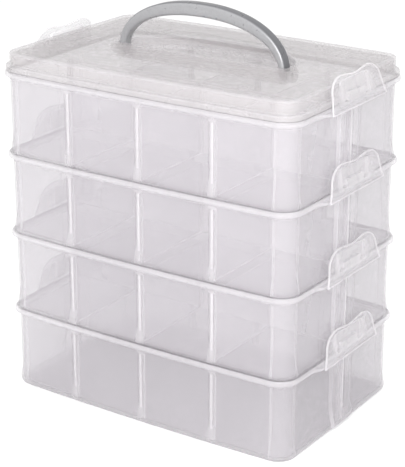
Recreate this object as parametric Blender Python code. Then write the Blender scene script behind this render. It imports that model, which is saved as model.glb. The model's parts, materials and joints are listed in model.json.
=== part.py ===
"""A stacking sewing box: four nesting trays, a lid with a folding handle, end latches and lift-out dividers.

X runs along the box, Y from the front to the back and Z up. The origin is the centre of the base of the
bottom tray, on the surface that the box stands on. Every outline of the trays and the lid is the same bowed
rounded rectangle, moved in or out by an offset from the outer face of the tray wall.
"""

import math

import bmesh
import bpy
from mathutils import Matrix, Vector

MM = 0.001

# Overall sizes of a tray, measured on the outside of its wall
TRAY_LENGTH = 265.4 * MM
TRAY_DEPTH = 169.0 * MM
TRAY_PITCH = 66.5 * MM
TRAY_COUNT = 4
CORNER_RADIUS = 14.7 * MM
SIDE_BOW = 3.0 * MM
END_BOW = 0.8 * MM

# Walls, floor and base of a tray
WALL = 1.6 * MM
FLOOR = 1.8 * MM
BASE_ROUND_WIDTH = 3.0 * MM
BASE_ROUND_HEIGHT = 5.0 * MM
FLOOR_ROUND_SHARE = 0.3
SEAT_GAP = 0.3 * MM

# Rim of a tray: the bead outside, the ledge inside that carries the next tray or the lid.
# The bead's section is a row of points, as shares of its reach and of its whole height.
BEAD_REACH = 2.6 * MM
BEAD_UNDER = 2.3 * MM
BEAD_OVER = 2.3 * MM
BEAD_INNER_EDGE = 0.7 * MM
BEAD_SECTION = ((0.75, 0.14), (1.0, 0.42), (1.0, 0.62), (0.85, 0.88), (0.65, 1.0))
LEDGE_REACH = 3.0 * MM
LEDGE_EDGE = 1.0 * MM

# Pilaster in the middle of both short ends, which stiffens the wall behind the latch
PILASTER_WIDTH = 32.0 * MM
PILASTER_REACH = 1.8 * MM
PILASTER_CHAMFER = 1.6 * MM

# Latch: a flap hinged on a flared shelf of the rim
SHELF_REACH = 5.8 * MM
SHELF_THICKNESS = 2.0 * MM
SHELF_ROOT = 0.6 * MM
SHELF_END_REACH = 2.1 * MM
SHELF_RISE = 0.5 * MM
SHELF_FLAT_WIDTH = 82.0 * MM
SHELF_FLARE_WIDTH = 11.0 * MM
LATCH_GAP = 0.3 * MM
LATCH_THICKNESS = 1.6 * MM
LATCH_HEIGHT = 25.6 * MM
LATCH_SHOULDER_HEIGHT = 12.0 * MM
LATCH_SHOULDER_WIDTH = 74.0 * MM
LATCH_CREST_SPACING = 40.0 * MM
LATCH_DIP = 1.9 * MM
LATCH_LEAN = 3.4 * MM
CATCH_WIDTH = 40.0 * MM
CATCH_BOTTOM = 5.6 * MM
CATCH_TOP = 20.6 * MM
CATCH_LEG_WIDTH = 8.0 * MM
CATCH_LEG_LENGTH = 6.0 * MM
CATCH_CORNER = 2.0 * MM
CATCH_BITE = 0.5 * MM

# Lid
LID_RISE = 17.0 * MM
LID_WALL_INSET = 1.7 * MM
LID_WALL_HEIGHT = 10.0 * MM
LID_EDGE_ROUND = 1.2 * MM
LID_PANEL = 1.8 * MM
SKIRT_REACH = 1.5 * MM
SPIGOT_OUTER_INSET = 0.7 * MM
SPIGOT_THICKNESS = 1.4 * MM

# Handle, its trunnions and the well in the lid that it folds into
HANDLE_Y = 1.0 * MM
HANDLE_DEPTH = 10.0 * MM
HANDLE_SPAN = 155.0 * MM
HANDLE_HEIGHT = 44.8 * MM
HANDLE_FULLNESS = 2.15
HANDLE_FOOT_THICKNESS = 6.0 * MM
HANDLE_CROWN_THICKNESS = 10.7 * MM
HANDLE_EDGE_ROUND = 2.6 * MM
TRUNNION_RADIUS = 2.4 * MM
TRUNNION_LENGTH = 3.8 * MM
TRUNNION_CLEARANCE = 0.3 * MM
WELL_CLEARANCE = 0.7 * MM
WELL_WALL = 1.6 * MM
WELL_UNDER_HANDLE = 0.3 * MM
BOSS_WIDTH = 12.0 * MM
BOSS_DEPTH_PAST_TRUNNION = 2.4 * MM

# Dividers and the slots that hold them
DIVIDER_THICKNESS = 1.5 * MM
DIVIDER_BELOW_RIM = 5.5 * MM
DIVIDER_SPACING = TRAY_LENGTH / 4
DIVIDER_CORNER_WIDTH = 5.2 * MM
DIVIDER_CORNER_HEIGHT = 5.0 * MM
SLOT_CLEARANCE = 0.3 * MM
RIB_THICKNESS = 2.0 * MM
RIB_REACH = 2.0 * MM
RIB_BELOW_DIVIDER = 2.0 * MM
DIVIDER_RIB_REACH = 1.2 * MM
FIRST_DIVIDED_TRAY = 2

# How finely the round shapes are cut
CORNER_STEPS = 6
SIDE_STEPS = 8
END_STEPS = 4
ROUND_STEPS = 4
HANDLE_STEPS = 28
HANDLE_END_STEPS = 4
PIN_STEPS = 20
SMOOTH_ANGLE = math.radians(35)
OVERLAP = 0.8 * MM
ROUND_MIDDLE = 1 - math.cos(math.radians(45))

# Heights inside one tray, from its base
RIM_MIDDLE = TRAY_PITCH
RIM_TOP = RIM_MIDDLE + BEAD_OVER
RIM_UNDER = RIM_MIDDLE - BEAD_UNDER
LEDGE_TOP = RIM_MIDDLE - SEAT_GAP
SHELF_BOTTOM = RIM_UNDER + SHELF_RISE
DIVIDER_TOP = RIM_MIDDLE - DIVIDER_BELOW_RIM
RIB_TOP = DIVIDER_TOP - RIB_BELOW_DIVIDER

# Heights of the lid in the frame
STACK_TOP = TRAY_PITCH * TRAY_COUNT
LID_TOP = STACK_TOP + LID_RISE
SKIRT_TOP = LID_TOP - LID_WALL_HEIGHT
SKIRT_BOTTOM = STACK_TOP + BEAD_OVER + SEAT_GAP
PIVOT_Z = LID_TOP - HANDLE_DEPTH / 2 - WELL_CLEARANCE / 2
WELL_FLOOR_Z = PIVOT_Z - HANDLE_DEPTH / 2 - WELL_UNDER_HANDLE


def material(name, colour, roughness, metallic=0.0, alpha=1.0):
    """A plain Principled finish."""
    made = bpy.data.materials.new(name)
    made.use_nodes = True
    shader = made.node_tree.nodes["Principled BSDF"]
    shader.inputs["Base Color"].default_value = (*colour, 1.0)
    shader.inputs["Roughness"].default_value = roughness
    shader.inputs["Metallic"].default_value = metallic
    shader.inputs["Alpha"].default_value = alpha
    made.diffuse_color = (*colour, alpha)
    return made


def mesh_of(name, build):
    """A new mesh filled by build(bm), with its faces turned outwards."""
    bm = bmesh.new()
    build(bm)
    bmesh.ops.recalc_face_normals(bm, faces=bm.faces)
    mesh = bpy.data.meshes.new(name)
    bm.to_mesh(mesh)
    bm.free()
    return mesh


def place(name, mesh, finish, location=(0, 0, 0), turn=0.0, parent=None):
    """An object in the scene, shaded smooth except along its sharp edges."""
    thing = bpy.data.objects.new(name, mesh)
    bpy.context.collection.objects.link(thing)
    thing.location = location
    thing.rotation_euler = (0, 0, turn)
    if parent is not None:
        thing.parent = parent
    if finish is not None and not mesh.materials:
        mesh.materials.append(finish)
    mesh.shade_smooth()
    mesh.set_sharp_from_angle(angle=SMOOTH_ANGLE)
    return thing


def joined(name, mesh, steps):
    """The mesh after a row of exact Booleans, given as (operation, tool mesh)."""
    work = bpy.data.objects.new(name, mesh)
    bpy.context.collection.objects.link(work)
    tools = []
    for operation, tool_mesh in steps:
        tool = bpy.data.objects.new(name + "_tool", tool_mesh)
        bpy.context.collection.objects.link(tool)
        tool.display_type = "WIRE"
        tool.hide_render = True
        cut = work.modifiers.new(operation.lower(), "BOOLEAN")
        cut.operation = operation
        cut.solver = "EXACT"
        cut.object = tool
        tools.append(tool)
    depsgraph = bpy.context.evaluated_depsgraph_get()
    result = bpy.data.meshes.new_from_object(work.evaluated_get(depsgraph))
    result.name = name
    for used in [work, *tools]:
        bpy.data.objects.remove(used)
    return result


def bowed(x, y):
    """A point of the plain rounded rectangle, moved out with the slight bow of the long sides and the ends."""
    across = 1 + SIDE_BOW / (TRAY_DEPTH / 2) * (1 - (x / (TRAY_LENGTH / 2)) ** 2)
    along = 1 + END_BOW / (TRAY_LENGTH / 2) * (1 - (y / (TRAY_DEPTH / 2)) ** 2)
    return x * along, y * across


def side_y(x, offset):
    """Where the back wall's face at this offset lies, at a place along the box."""
    return bowed(x, TRAY_DEPTH / 2 + offset)[1]


def end_x(offset):
    """Where the right end wall's face at this offset lies, on the middle of the end."""
    return bowed(TRAY_LENGTH / 2 + offset, 0)[0]


def outline(offset, z):
    """One ring of points round the box, offset from the outer face of the tray wall."""
    half_x = TRAY_LENGTH / 2 + offset
    half_y = TRAY_DEPTH / 2 + offset
    radius = CORNER_RADIUS + offset
    centres = [(1, -1), (1, 1), (-1, 1), (-1, -1)]
    ring = []
    for corner, (side_x, side_y_sign) in enumerate(centres):
        centre = Vector((side_x * (half_x - radius), side_y_sign * (half_y - radius)))
        start = math.radians(-90 + 90 * corner)
        arc = []
        for step in range(CORNER_STEPS + 1):
            angle = start + math.radians(90) * step / CORNER_STEPS
            arc.append(centre + radius * Vector((math.cos(angle), math.sin(angle))))
        ring.extend(arc)
        next_x, next_y = centres[(corner + 1) % 4]
        next_centre = Vector((next_x * (half_x - radius), next_y * (half_y - radius)))
        end = arc[-1]
        target = end + (next_centre - centre)
        steps = END_STEPS if corner % 2 == 0 else SIDE_STEPS
        ring.extend(end.lerp(target, step / steps) for step in range(1, steps))
    return [(*bowed(point.x, point.y), z) for point in ring]


def loft(bm, rings):
    """Quads between each ring and the next, with both ends closed."""
    rows = [[bm.verts.new(point) for point in ring] for ring in rings]
    for lower, upper in zip(rows, rows[1:]):
        for index in range(len(lower)):
            after = (index + 1) % len(lower)
            bm.faces.new((lower[index], lower[after], upper[after], upper[index]))
    bm.faces.new(reversed(rows[0]))
    bm.faces.new(rows[-1])


def lofted(name, profile):
    """A closed shell from (offset, height) pairs, walked from one flat end to the other."""
    rings = [outline(offset, z) for offset, z in profile]
    return mesh_of(name, lambda bm: loft(bm, rings))


def prism(bm, points, low, high, place_point):
    """A closed prism: a flat outline at two depths, each point placed by place_point(u, v, depth)."""
    rings = [[place_point(u, v, depth) for u, v in points] for depth in (low, high)]
    loft(bm, rings)


def box(bm, low, high):
    """A plain block between two corners, one body of a tool mesh."""
    size = Vector(high) - Vector(low)
    middle = (Vector(high) + Vector(low)) / 2
    matrix = Matrix.Translation(middle) @ Matrix.Diagonal((*size, 1.0))
    bmesh.ops.create_cube(bm, size=1.0, matrix=matrix)


# Tray


def tray_profile():
    """The tray wall in section, from the middle of the base round the rim to the middle of the floor."""
    profile = []
    for step in range(ROUND_STEPS + 1):
        angle = math.radians(90) * step / ROUND_STEPS
        offset = -BASE_ROUND_WIDTH * (1 - math.sin(angle))
        profile.append((offset, BASE_ROUND_HEIGHT * (1 - math.cos(angle))))
    profile.append((0, RIM_UNDER))
    bead_height = RIM_TOP - RIM_UNDER
    for reach, height in BEAD_SECTION:
        profile.append((BEAD_REACH * reach, RIM_UNDER + bead_height * height))
    return profile + [
        (BEAD_INNER_EDGE, RIM_TOP),
        (-SEAT_GAP, LEDGE_TOP),
        (-WALL - LEDGE_REACH, LEDGE_TOP),
        (-WALL - LEDGE_REACH, LEDGE_TOP - LEDGE_EDGE),
        (-WALL, LEDGE_TOP - LEDGE_EDGE - LEDGE_REACH),
        (-WALL, FLOOR + BASE_ROUND_HEIGHT),
        (-WALL - BASE_ROUND_WIDTH * FLOOR_ROUND_SHARE, FLOOR + BASE_ROUND_HEIGHT * FLOOR_ROUND_SHARE),
        (-WALL - BASE_ROUND_WIDTH, FLOOR),
    ]


def shelf_edge(y):
    """How far the rim's outer edge reaches past the wall beside the latch: flat, then an S-shaped flare."""
    past = (abs(y) - SHELF_FLAT_WIDTH / 2) / SHELF_FLARE_WIDTH
    blend = min(max(past, 0.0), 1.0)
    return SHELF_REACH + (SHELF_END_REACH - SHELF_REACH) * blend * blend * (3 - 2 * blend)


def shelf_points():
    """The plan of the flared shelf at the right end, from inside the wall to its edge."""
    half = SHELF_FLAT_WIDTH / 2 + SHELF_FLARE_WIDTH
    steps = 5
    flare = [SHELF_FLAT_WIDTH / 2 + SHELF_FLARE_WIDTH * step / steps for step in range(steps + 1)]
    stations = [-y for y in reversed(flare)] + flare
    edge = [(end_x(0) + shelf_edge(y), y) for y in stations]
    root = end_x(SHELF_ROOT)
    return [(root, -half)] + edge + [(root, half)]


def pilaster_points():
    """The plan of the pilaster on the right end, with chamfered sides."""
    half = PILASTER_WIDTH / 2
    inner = end_x(0) - WALL / 2
    outer = end_x(0) + PILASTER_REACH
    return [
        (inner, -half),
        (end_x(0), -half),
        (outer, -half + PILASTER_CHAMFER),
        (outer, half - PILASTER_CHAMFER),
        (end_x(0), half),
        (inner, half),
    ]


def shelves(bm):
    """The shelves that carry the latches, one at each end."""
    for side in (1, -1):
        prism(
            bm,
            shelf_points(),
            SHELF_BOTTOM,
            SHELF_BOTTOM + SHELF_THICKNESS,
            lambda u, v, d: (side * u, v, d),
        )


def pilasters(bm):
    """The pilasters run from above the rim below them up into the bead."""
    low = BEAD_OVER + 2 * SEAT_GAP
    for side in (1, -1):
        prism(bm, pilaster_points(), low, RIM_UNDER + SEAT_GAP, lambda u, v, d: (side * u, v, d))


def divider_places():
    """Where the cross dividers stand along the box."""
    return [-DIVIDER_SPACING, 0.0, DIVIDER_SPACING]


def rib_offsets():
    """The inner and outer edge of a slot's ribs, from the middle of the slot."""
    inner = DIVIDER_THICKNESS / 2 + SLOT_CLEARANCE
    return inner, inner + RIB_THICKNESS


def wall_ribs(bm):
    """Pairs of ribs on the walls, which hold the ends of the dividers."""
    near, far = rib_offsets()
    low = FLOOR / 2
    for x in divider_places():
        for side in (1, -1):
            for low_x, high_x in ((x - far, x - near), (x + near, x + far)):
                reach = [side * (side_y(x, -WALL) - RIB_REACH), side * (side_y(x, -WALL) + OVERLAP)]
                box(bm, (low_x, min(reach), low), (high_x, max(reach), RIB_TOP))
    for side in (1, -1):
        reach = [side * (end_x(-WALL) - RIB_REACH), side * (end_x(-WALL) + OVERLAP)]
        for low_y, high_y in ((-far, -near), (near, far)):
            box(bm, (min(reach), low_y, low), (max(reach), high_y, RIB_TOP))


def tray_mesh():
    """One tray: shell, latch shelves, pilasters and divider ribs in one piece."""
    shell = lofted("tray_shell", tray_profile())
    steps = [
        ("UNION", mesh_of("shelves", shelves)),
        ("UNION", mesh_of("pilasters", pilasters)),
        ("UNION", mesh_of("ribs", wall_ribs)),
    ]
    return joined("tray", shell, steps)


# Dividers


def divider_outline(low_end, high_end, chamfer_low, chamfer_high):
    """The side view of a divider, with its lower corners cut clear of the tray's rounded base."""
    bottom = FLOOR + SEAT_GAP
    points = []
    if chamfer_low:
        points += [(low_end, bottom + DIVIDER_CORNER_HEIGHT), (low_end + DIVIDER_CORNER_WIDTH, bottom)]
    else:
        points += [(low_end, bottom)]
    if chamfer_high:
        points += [(high_end - DIVIDER_CORNER_WIDTH, bottom), (high_end, bottom + DIVIDER_CORNER_HEIGHT)]
    else:
        points += [(high_end, bottom)]
    return points + [(high_end, DIVIDER_TOP), (low_end, DIVIDER_TOP)]


def divider_ribs(bm):
    """Pairs of ribs on both faces of the long divider, which hold the inner ends of the cross dividers."""
    near, far = rib_offsets()
    low = FLOOR + 2 * SEAT_GAP
    for x in divider_places():
        for low_x, high_x in ((x - far, x - near), (x + near, x + far)):
            half = DIVIDER_THICKNESS / 2 + DIVIDER_RIB_REACH
            box(bm, (low_x, -half, low), (high_x, half, RIB_TOP))


def long_divider_mesh():
    """The plate that halves a tray lengthways."""
    end = end_x(-WALL) - SLOT_CLEARANCE
    side = divider_outline(-end, end, True, True)
    half = DIVIDER_THICKNESS / 2
    plate = mesh_of("long_plate", lambda bm: prism(bm, side, -half, half, lambda u, v, d: (u, d, v)))
    return joined("long_divider", plate, [("UNION", mesh_of("long_ribs", divider_ribs))])


def cross_divider_mesh(x):
    """A plate from the long divider to the back wall, at one place along the box."""
    inner = DIVIDER_THICKNESS / 2 + SLOT_CLEARANCE
    outer = side_y(x, -WALL) - SLOT_CLEARANCE
    side = divider_outline(inner, outer, False, True)
    half = DIVIDER_THICKNESS / 2
    return mesh_of("cross_divider", lambda bm: prism(bm, side, -half, half, lambda u, v, d: (d, u, v)))


# Latches


def latch_outline():
    """The face of a latch: sloping sides, round shoulders and a wavy top with two crests."""
    half_base = SHELF_FLAT_WIDTH / 2
    half_shoulder = LATCH_SHOULDER_WIDTH / 2
    crest = LATCH_CREST_SPACING / 2
    steps = 5
    shoulder = []
    for step in range(steps):
        angle = math.radians(90) * step / steps
        y = crest + (half_shoulder - crest) * math.cos(angle)
        z = LATCH_SHOULDER_HEIGHT + (LATCH_HEIGHT - LATCH_SHOULDER_HEIGHT) * math.sin(angle)
        shoulder.append((y, z))
    wave = []
    wave_steps = 12
    for step in range(wave_steps + 1):
        y = crest * (1 - 2 * step / wave_steps)
        fall = LATCH_DIP / 2 * (1 + math.cos(2 * math.pi * y / LATCH_CREST_SPACING))
        wave.append((y, LATCH_HEIGHT - fall))
    mirrored = [(-y, z) for y, z in reversed(shoulder)]
    return [(-half_base, 0.0), (half_base, 0.0)] + shoulder + wave + mirrored


def catch_outline():
    """The bracket behind the latch that bears on the tray above: a bar with a leg at each end."""
    half = CATCH_WIDTH / 2
    leg = half - CATCH_LEG_WIDTH
    crook = CATCH_BOTTOM + CATCH_LEG_LENGTH
    return [
        (-half + CATCH_CORNER, CATCH_BOTTOM),
        (-leg, CATCH_BOTTOM),
        (-leg, crook),
        (leg, crook),
        (leg, CATCH_BOTTOM),
        (half - CATCH_CORNER, CATCH_BOTTOM),
        (half, CATCH_BOTTOM + CATCH_CORNER),
        (half, CATCH_TOP - CATCH_CORNER),
        (half - CATCH_CORNER, CATCH_TOP),
        (-half + CATCH_CORNER, CATCH_TOP),
        (-half, CATCH_TOP - CATCH_CORNER),
        (-half, CATCH_BOTTOM + CATCH_CORNER),
    ]


def latch_mesh():
    """One latch, drawn about its hinge line, facing the right end of the box."""

    def leaning(y, z, depth):
        return depth - LATCH_LEAN * z / LATCH_HEIGHT, y, z

    def upright(y, z, depth):
        return depth, y, z

    inner = LATCH_GAP / 2 + LATCH_LEAN * SHELF_THICKNESS / LATCH_HEIGHT
    bearing = PILASTER_REACH + LATCH_GAP - SHELF_REACH - LATCH_GAP / 2

    def catch(bm):
        rings = [
            [upright(y, z, bearing) for y, z in catch_outline()],
            [leaning(y, z, inner + CATCH_BITE) for y, z in catch_outline()],
        ]
        loft(bm, rings)

    outer = inner + LATCH_THICKNESS
    plate = mesh_of("latch_plate", lambda bm: prism(bm, latch_outline(), inner, outer, leaning))
    return joined("latch", plate, [("UNION", mesh_of("catch", catch))])


# Lid


def lid_profile():
    """The lid in section, from the middle of its top round the skirt to the middle of its underside."""
    wall = -LID_WALL_INSET
    inside = wall - WALL
    spigot = -SPIGOT_OUTER_INSET
    spigot_bottom = STACK_TOP
    shoulder = LID_EDGE_ROUND / 2
    return [
        (wall - LID_EDGE_ROUND, LID_TOP),
        (wall - LID_EDGE_ROUND * ROUND_MIDDLE, LID_TOP - LID_EDGE_ROUND * ROUND_MIDDLE),
        (wall, LID_TOP - LID_EDGE_ROUND),
        (wall, SKIRT_TOP + shoulder),
        (wall + shoulder, SKIRT_TOP),
        (SKIRT_REACH - shoulder, SKIRT_TOP),
        (SKIRT_REACH, SKIRT_TOP - shoulder),
        (SKIRT_REACH, SKIRT_BOTTOM),
        (0, SKIRT_BOTTOM),
        (spigot, spigot_bottom),
        (spigot - SPIGOT_THICKNESS, spigot_bottom),
        (spigot - SPIGOT_THICKNESS, SKIRT_TOP - SPIGOT_THICKNESS),
        (inside, SKIRT_TOP + shoulder),
        (inside, LID_TOP - LID_PANEL),
    ]


def arch_point(half_span, height, angle):
    """A point on the handle's arch, which has fuller shoulders than an ellipse."""
    along, up = math.cos(angle), math.sin(angle)
    share = 2 / HANDLE_FULLNESS
    return math.copysign(abs(along) ** share, along) * half_span, abs(up) ** share * height


def well_points(grow):
    """The plan of the well: the arch laid flat behind the handle and a straight edge just in front of it."""
    half_x = HANDLE_SPAN / 2 + WELL_CLEARANCE + grow
    front = HANDLE_Y - HANDLE_DEPTH / 2 - WELL_CLEARANCE - grow
    depth = HANDLE_HEIGHT + WELL_CLEARANCE + grow
    steps = 24
    points = [(-half_x, front), (half_x, front)]
    for step in range(steps + 1):
        angle = math.pi * step / steps
        x, y = arch_point(half_x, depth, angle)
        points.append((x, HANDLE_Y + y))
    return points


def flat(u, v, depth):
    return u, v, depth


def well_shell(bm):
    prism(bm, well_points(WELL_WALL), WELL_FLOOR_Z - WELL_WALL, LID_TOP - LID_PANEL / 2, flat)


def well_hollow(bm):
    prism(bm, well_points(0.0), WELL_FLOOR_Z, LID_TOP + OVERLAP, flat)


def bosses(bm):
    """The blocks beside the well that hold the handle's trunnions."""
    near = HANDLE_SPAN / 2 + WELL_CLEARANCE + WELL_WALL / 2
    far = HANDLE_SPAN / 2 + TRUNNION_LENGTH + BOSS_DEPTH_PAST_TRUNNION
    low_z = WELL_FLOOR_Z - WELL_WALL / 2
    for side in (1, -1):
        edges = (side * near, side * far)
        box(
            bm,
            (min(edges), HANDLE_Y - BOSS_WIDTH / 2, low_z),
            (max(edges), HANDLE_Y + BOSS_WIDTH / 2, LID_TOP - LID_PANEL / 2),
        )


def pin(bm, side, radius, start, end):
    """A round pin or bore along X on the handle's axis."""
    middle = side * (start + end) / 2
    turn = Matrix.Rotation(math.radians(90), 4, "Y")
    bmesh.ops.create_cone(
        bm,
        cap_ends=True,
        segments=PIN_STEPS,
        radius1=radius,
        radius2=radius,
        depth=end - start,
        matrix=Matrix.Translation((middle, 0, 0)) @ turn,
    )


def trunnion_bores(bm):
    radius = TRUNNION_RADIUS + TRUNNION_CLEARANCE
    end = HANDLE_SPAN / 2 + TRUNNION_LENGTH + TRUNNION_CLEARANCE
    for side in (1, -1):
        pin(bm, side, radius, HANDLE_SPAN / 2 - OVERLAP, end)
    bmesh.ops.translate(bm, verts=bm.verts, vec=(0, HANDLE_Y, PIVOT_Z))


def lid_mesh():
    shell = lofted("lid_shell", lid_profile())
    steps = [
        ("UNION", mesh_of("well_shell", well_shell)),
        ("UNION", mesh_of("bosses", bosses)),
        ("DIFFERENCE", mesh_of("well_hollow", well_hollow)),
        ("DIFFERENCE", mesh_of("trunnion_bores", trunnion_bores)),
    ]
    return joined("lid", shell, steps)


# Handle


def handle_section(outer, inner, half_depth):
    """A rounded bar section between an outer and an inner point, in the plane they share with Y."""
    middle = (outer + inner) / 2
    reach = outer - inner
    half = reach.length / 2
    across = reach.normalized()
    radius = min(HANDLE_EDGE_ROUND, half, half_depth)
    corner_steps = 3
    ring = []
    for corner, (side_r, side_y_sign) in enumerate([(1, 1), (-1, 1), (-1, -1), (1, -1)]):
        for step in range(corner_steps + 1):
            angle = math.radians(90 * corner + 90 * step / corner_steps)
            radial = side_r * (half - radius) + radius * math.cos(angle)
            depth = side_y_sign * (half_depth - radius) + radius * math.sin(angle)
            ring.append(middle + across * radial + Vector((0, depth, 0)))
    return ring


def handle_mesh():
    """The arched bar, drawn about its pivot, with round feet and a trunnion on each."""
    outer_x = HANDLE_SPAN / 2
    inner_x = outer_x - HANDLE_FOOT_THICKNESS
    outer_z = HANDLE_HEIGHT
    inner_z = outer_z - HANDLE_CROWN_THICKNESS
    half = HANDLE_DEPTH / 2

    def foot(side):
        rings = []
        for step in range(HANDLE_END_STEPS, 0, -1):
            angle = math.radians(80) * step / HANDLE_END_STEPS
            drop = -half * math.sin(angle)
            outer = Vector((side * outer_x, 0, drop))
            inner = Vector((side * inner_x, 0, drop))
            rings.append(handle_section(outer, inner, half * math.cos(angle)))
        return rings

    rings = foot(1)
    for step in range(HANDLE_STEPS + 1):
        angle = math.pi * step / HANDLE_STEPS
        high_x, high_z = arch_point(outer_x, outer_z, angle)
        low_x, low_z = arch_point(inner_x, inner_z, angle)
        rings.append(handle_section(Vector((high_x, 0, high_z)), Vector((low_x, 0, low_z)), half))
    rings += reversed(foot(-1))
    bar = mesh_of("handle_bar", lambda bm: loft(bm, rings))

    def trunnions(bm):
        for side in (1, -1):
            pin(bm, side, TRUNNION_RADIUS, outer_x - HANDLE_FOOT_THICKNESS / 2, outer_x + TRUNNION_LENGTH)

    return joined("handle", bar, [("UNION", mesh_of("trunnions", trunnions))])


# Assembly


def clear_scene():
    for thing in list(bpy.data.objects):
        bpy.data.objects.remove(thing)


def build():
    clear_scene()
    frosted = material("frosted_plastic", (0.80, 0.79, 0.81), 0.35, alpha=0.55)
    divider_finish = material("divider_plastic", (0.83, 0.82, 0.84), 0.4, alpha=0.6)
    silver = material("silver_grey_plastic", (0.42, 0.42, 0.44), 0.32)

    tray = tray_mesh()
    latch = latch_mesh()
    long_divider = long_divider_mesh()
    cross_dividers = [cross_divider_mesh(x) for x in divider_places()]

    hinge_x = end_x(0) + SHELF_REACH + LATCH_GAP / 2
    hinge_z = SHELF_BOTTOM

    for level in range(1, TRAY_COUNT + 1):
        base_z = TRAY_PITCH * (level - 1)
        tray_object = place(f"tray_{level}", tray, frosted, (0, 0, base_z))
        place(f"latch_right_{level}", latch, frosted, (hinge_x, 0, hinge_z), 0.0, tray_object)
        place(f"latch_left_{level}", latch, frosted, (-hinge_x, 0, hinge_z), math.pi, tray_object)
        if level < FIRST_DIVIDED_TRAY:
            continue
        place(f"long_divider_{level}", long_divider, divider_finish, parent=tray_object)
        for number, (x, mesh) in enumerate(zip(divider_places(), cross_dividers), start=1):
            name = f"back_divider_{level}_{number}"
            place(name, mesh, divider_finish, (x, 0, 0), 0.0, tray_object)
            name = f"front_divider_{level}_{number}"
            place(name, mesh, divider_finish, (x, 0, 0), math.pi, tray_object)

    lid = place("lid", lid_mesh(), frosted)
    place("handle", handle_mesh(), silver, (0, HANDLE_Y, PIVOT_Z), 0.0, lid)


build()
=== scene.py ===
# %% [markdown]
# # A sewing box with trays
# Four shallow trays of frosted plastic nest on each other, a lid with a silver-grey carry handle closes the
# stack, and a hinged latch at both ends of every rim holds it together. Thin dividers split the upper trays
# into small compartments. This lesson gives the plain working model of the box its fine shapes and
# finishes. Every piece is made where the working model says it is, and all but the thin hinge webs ride on
# the part of the box that carries them.

# %% Load the working model
import json
import math

import bmesh
import bpy
from mathutils import Matrix, Vector
from mathutils.kdtree import KDTree


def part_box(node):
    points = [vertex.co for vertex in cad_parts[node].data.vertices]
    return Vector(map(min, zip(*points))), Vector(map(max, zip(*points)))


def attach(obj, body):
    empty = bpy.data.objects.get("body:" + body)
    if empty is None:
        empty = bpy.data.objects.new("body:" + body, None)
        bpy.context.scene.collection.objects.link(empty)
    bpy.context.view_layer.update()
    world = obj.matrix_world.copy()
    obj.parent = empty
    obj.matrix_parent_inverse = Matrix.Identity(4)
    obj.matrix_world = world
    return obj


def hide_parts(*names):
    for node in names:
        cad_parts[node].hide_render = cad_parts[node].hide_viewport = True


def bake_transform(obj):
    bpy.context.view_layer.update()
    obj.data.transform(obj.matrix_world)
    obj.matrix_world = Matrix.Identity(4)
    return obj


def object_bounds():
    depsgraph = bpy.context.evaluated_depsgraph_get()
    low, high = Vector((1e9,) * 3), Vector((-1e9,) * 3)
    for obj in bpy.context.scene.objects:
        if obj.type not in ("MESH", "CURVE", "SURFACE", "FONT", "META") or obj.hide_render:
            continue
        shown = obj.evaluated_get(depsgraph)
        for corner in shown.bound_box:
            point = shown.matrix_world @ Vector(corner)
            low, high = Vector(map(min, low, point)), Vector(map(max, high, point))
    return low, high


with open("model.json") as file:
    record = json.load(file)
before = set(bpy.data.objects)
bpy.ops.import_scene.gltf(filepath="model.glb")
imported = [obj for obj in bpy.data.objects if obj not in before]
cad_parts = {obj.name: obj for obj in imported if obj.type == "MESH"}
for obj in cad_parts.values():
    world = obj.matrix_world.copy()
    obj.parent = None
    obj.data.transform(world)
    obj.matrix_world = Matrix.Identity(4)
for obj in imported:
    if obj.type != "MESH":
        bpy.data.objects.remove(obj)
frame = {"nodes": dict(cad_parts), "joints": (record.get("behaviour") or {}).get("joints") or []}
cad_low, cad_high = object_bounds()
mm = 0.001
print("working model, mm:", [round(side / mm, 1) for side in cad_high - cad_low])

# %% [markdown]
# ## The plan that every tray and the lid share
# Seen from above, each of them is the same rounded rectangle with slightly bowed sides: moulded walls are
# bowed on purpose, because a flat one would look hollow. One could draw it as a curve and offset it, but
# the latch shelf, the pilaster and the divider ribs change the wall from place to place. So the outline is
# kept as a walk of named places, and each ring of the wall asks every place where it lies.

# %% Driving sizes
TRAY_LENGTH = 265.4 * mm
TRAY_DEPTH = 169.0 * mm
CORNER_RADIUS = 14.7 * mm
CORNER_STEPS = 12
SIDE_BOW = 3.0 * mm
END_BOW = 0.8 * mm
WALL = 1.6 * mm
straight_x = TRAY_LENGTH / 2 - CORNER_RADIUS
straight_y = TRAY_DEPTH / 2 - CORNER_RADIUS

tray_low, tray_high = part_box("tray_1")
tray_names = sorted(name for name in frame["nodes"] if name.startswith("tray_"))
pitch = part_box("tray_2")[0].z - tray_low.z
stack_top = pitch * len(tray_names)
print("trays:", tray_names, "pitch, mm:", round(pitch / mm, 2))

# %% Where a place of the outline lies


def bowed(x, y):
    """A point of the straight rectangle, moved out by the bow of its side and of its end."""
    across = 1 + SIDE_BOW / (TRAY_DEPTH / 2) * (1 - (x / (TRAY_LENGTH / 2)) ** 2)
    along = 1 + END_BOW / (TRAY_LENGTH / 2) * (1 - (y / (TRAY_DEPTH / 2)) ** 2)
    return x * along, y * across


def plan(station, offset):
    """Where a place of the walk lies, on the outline that is moved out by an offset."""
    kind, which, place = station
    if kind == "end":
        return bowed(which * (TRAY_LENGTH / 2 + offset), place)
    if kind == "side":
        return bowed(place, which * (TRAY_DEPTH / 2 + offset))
    radius = CORNER_RADIUS + offset
    centre_x = which[0] * (TRAY_LENGTH / 2 - CORNER_RADIUS)
    centre_y = which[1] * (TRAY_DEPTH / 2 - CORNER_RADIUS)
    return bowed(centre_x + radius * math.cos(place), centre_y + radius * math.sin(place))


end_x = plan(("end", 1, 0.0), 0.0)[0]
print("end wall at x, mm:", round(end_x / mm, 2))

# %% A walk round the outline


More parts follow.
